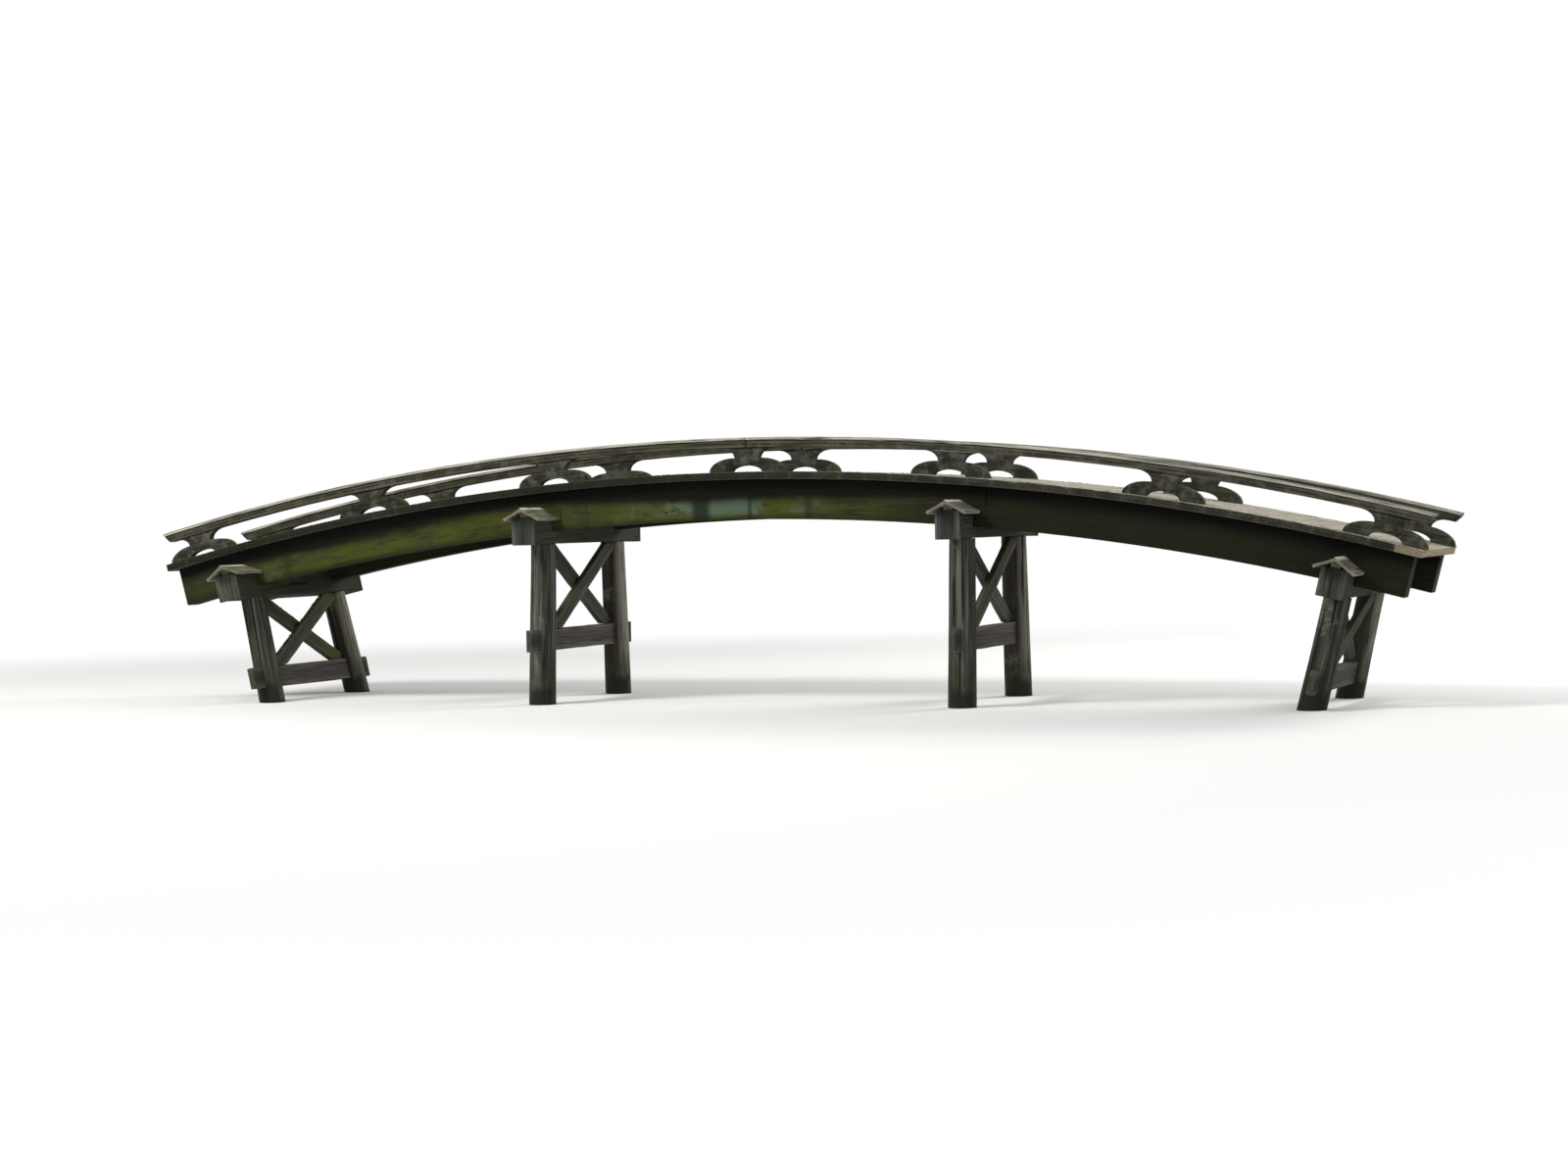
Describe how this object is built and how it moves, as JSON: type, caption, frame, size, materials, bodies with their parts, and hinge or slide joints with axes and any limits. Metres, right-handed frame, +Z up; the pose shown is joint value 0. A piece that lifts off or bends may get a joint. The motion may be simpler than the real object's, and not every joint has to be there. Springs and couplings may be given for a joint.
{
  "type": "arched timber moon bridge",
  "caption": "Arched garden footbridge of weathered timber: deep curved girders, a plank deck and low carved balustrades, on braced bents of splayed round legs.",
  "frame": {"origin": "on the water line below mid-span, at the middle of the bridge's width", "axes": "+X along the bridge to its right end, +Y across it to the back, +Z up"},
  "size_m": [12.5796, 2.51, 2.4713],
  "materials": {
    "leg_wood": "weathered grey round timber with cracks, dark and wet at the water line",
    "head_beam_wood": "dark weathered timber",
    "tie_wood": "grey weathered timber",
    "brace_wood": "dark weathered timber with some moss",
    "end_board_wood": "blue-grey weathered board",
    "rain_cap_wood": "pale weathered board",
    "girder_wood": "dark timber with olive green algae",
    "deck_wood": "sun-bleached planks",
    "block_wood": "dark weathered carved timber with some moss",
    "rail_wood": "dark weathered timber",
    "rail_cap_wood": "sun-bleached board"
  },
  "bodies": {
    "root": {"leg_left_bank_front": "leg_wood", "leg_left_bank_back": "leg_wood", "leg_left_mid_front": "leg_wood", "leg_left_mid_back": "leg_wood", "leg_right_mid_front": "leg_wood", "leg_right_mid_back": "leg_wood", "leg_right_bank_front": "leg_wood", "leg_right_bank_back": "leg_wood", "head_beam_left_bank": "head_beam_wood", "head_beam_left_mid": "head_beam_wood", "head_beam_right_mid": "head_beam_wood", "head_beam_right_bank": "head_beam_wood", "tie_left_bank": "tie_wood", "tie_left_mid": "tie_wood", "tie_right_mid": "tie_wood", "tie_right_bank": "tie_wood", "braces_left_bank": "brace_wood", "braces_left_mid": "brace_wood", "braces_right_mid": "brace_wood", "braces_right_bank": "brace_wood", "end_boards_left_bank": "end_board_wood", "end_boards_left_mid": "end_board_wood", "end_boards_right_mid": "end_board_wood", "end_boards_right_bank": "end_board_wood", "rain_caps_left_bank": "rain_cap_wood", "rain_caps_left_mid": "rain_cap_wood", "rain_caps_right_mid": "rain_cap_wood", "rain_caps_right_bank": "rain_cap_wood", "girder_front_left": "girder_wood", "girder_front_middle": "girder_wood", "girder_front_right": "girder_wood", "girder_back_left": "girder_wood", "girder_back_middle": "girder_wood", "girder_back_right": "girder_wood", "deck_left": "deck_wood", "deck_middle": "deck_wood", "deck_right": "deck_wood", "blocks_front": "block_wood", "blocks_back": "block_wood", "rail_front_left": "rail_wood", "rail_front_right": "rail_wood", "rail_back_left": "rail_wood", "rail_back_right": "rail_wood", "rail_cap_front": "rail_cap_wood", "rail_cap_back": "rail_cap_wood"}
  },
  "joints": []
}
